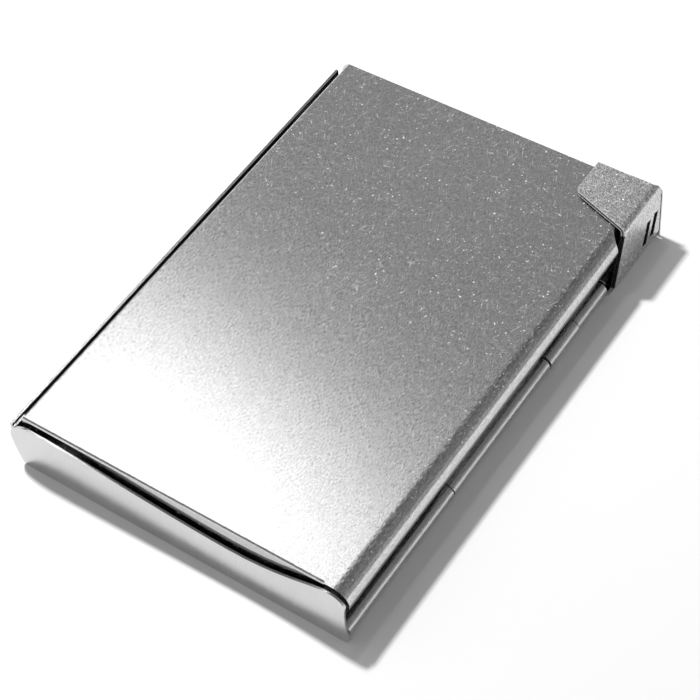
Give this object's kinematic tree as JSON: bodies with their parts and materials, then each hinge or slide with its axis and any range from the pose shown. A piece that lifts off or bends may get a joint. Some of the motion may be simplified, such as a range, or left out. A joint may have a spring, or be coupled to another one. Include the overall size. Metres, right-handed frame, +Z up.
{
  "type": "business card case",
  "caption": "Rigid sheet-metal business card case: shallow tray with end plates, hinged lid with rolled edge, and a sprung corner clip.",
  "frame": {"origin": "middle of the case's footprint, on the table", "axes": "+Z up, +Y along the hinge towards the clip's end, +X from the opening edge towards the hinge"},
  "size_m": [0.068, 0.0982, 0.0143],
  "materials": {
    "tray_pan": "brushed, lightly scratched",
    "end_plate": "fine vertical brushing",
    "hinge": "drawn and rolled, slightly worn",
    "rail": "plain mill finish",
    "lid_skin": "brushed along its length with random scratches",
    "lid_frame": "plain mill finish",
    "clip": "fine brushed, satin",
    "clip_liner": "plain mill finish",
    "spring": "tempered spring steel",
    "rivet": "polished dome"
  },
  "bodies": {
    "tray": {"tray_pan": "tray_pan", "front_plate": "end_plate", "back_plate": "end_plate", "tray_hinge_leaf": "hinge", "hinge_rail": "rail", "hinge_pin": "hinge", "hinge_rivet_1": "rivet", "hinge_rivet_2": "rivet", "hinge_rivet_3": "rivet", "front_plate_rivet_1": "rivet", "front_plate_rivet_2": "rivet", "back_plate_rivet_1": "rivet", "back_plate_rivet_2": "rivet"},
    "lid": {"lid_skin": "lid_skin", "lid_frame": "lid_frame", "lid_hinge_leaf": "hinge", "card_spring": "spring", "card_spring_rivet_1": "rivet", "card_spring_rivet_2": "rivet", "clip_spring": "spring"},
    "clip": {"clip_cover": "clip", "clip_liner": "clip_liner"}
  },
  "joints": [
    {"name": "lid_hinge", "type": "hinge", "parent": "tray", "child": "lid", "pos_m": [0.0318, 0, 0.00235], "axis": [0, 1, 0], "range_deg": [0, 90]},
    {"name": "clip_swing", "type": "hinge", "parent": "lid", "child": "clip", "pos_m": [0.0318, 0, 0.00235], "axis": [0, 1, 0], "range_deg": [0, 15], "stiffness_Nm_per_rad": 0.02, "springref_deg": -20.05}
  ]
}
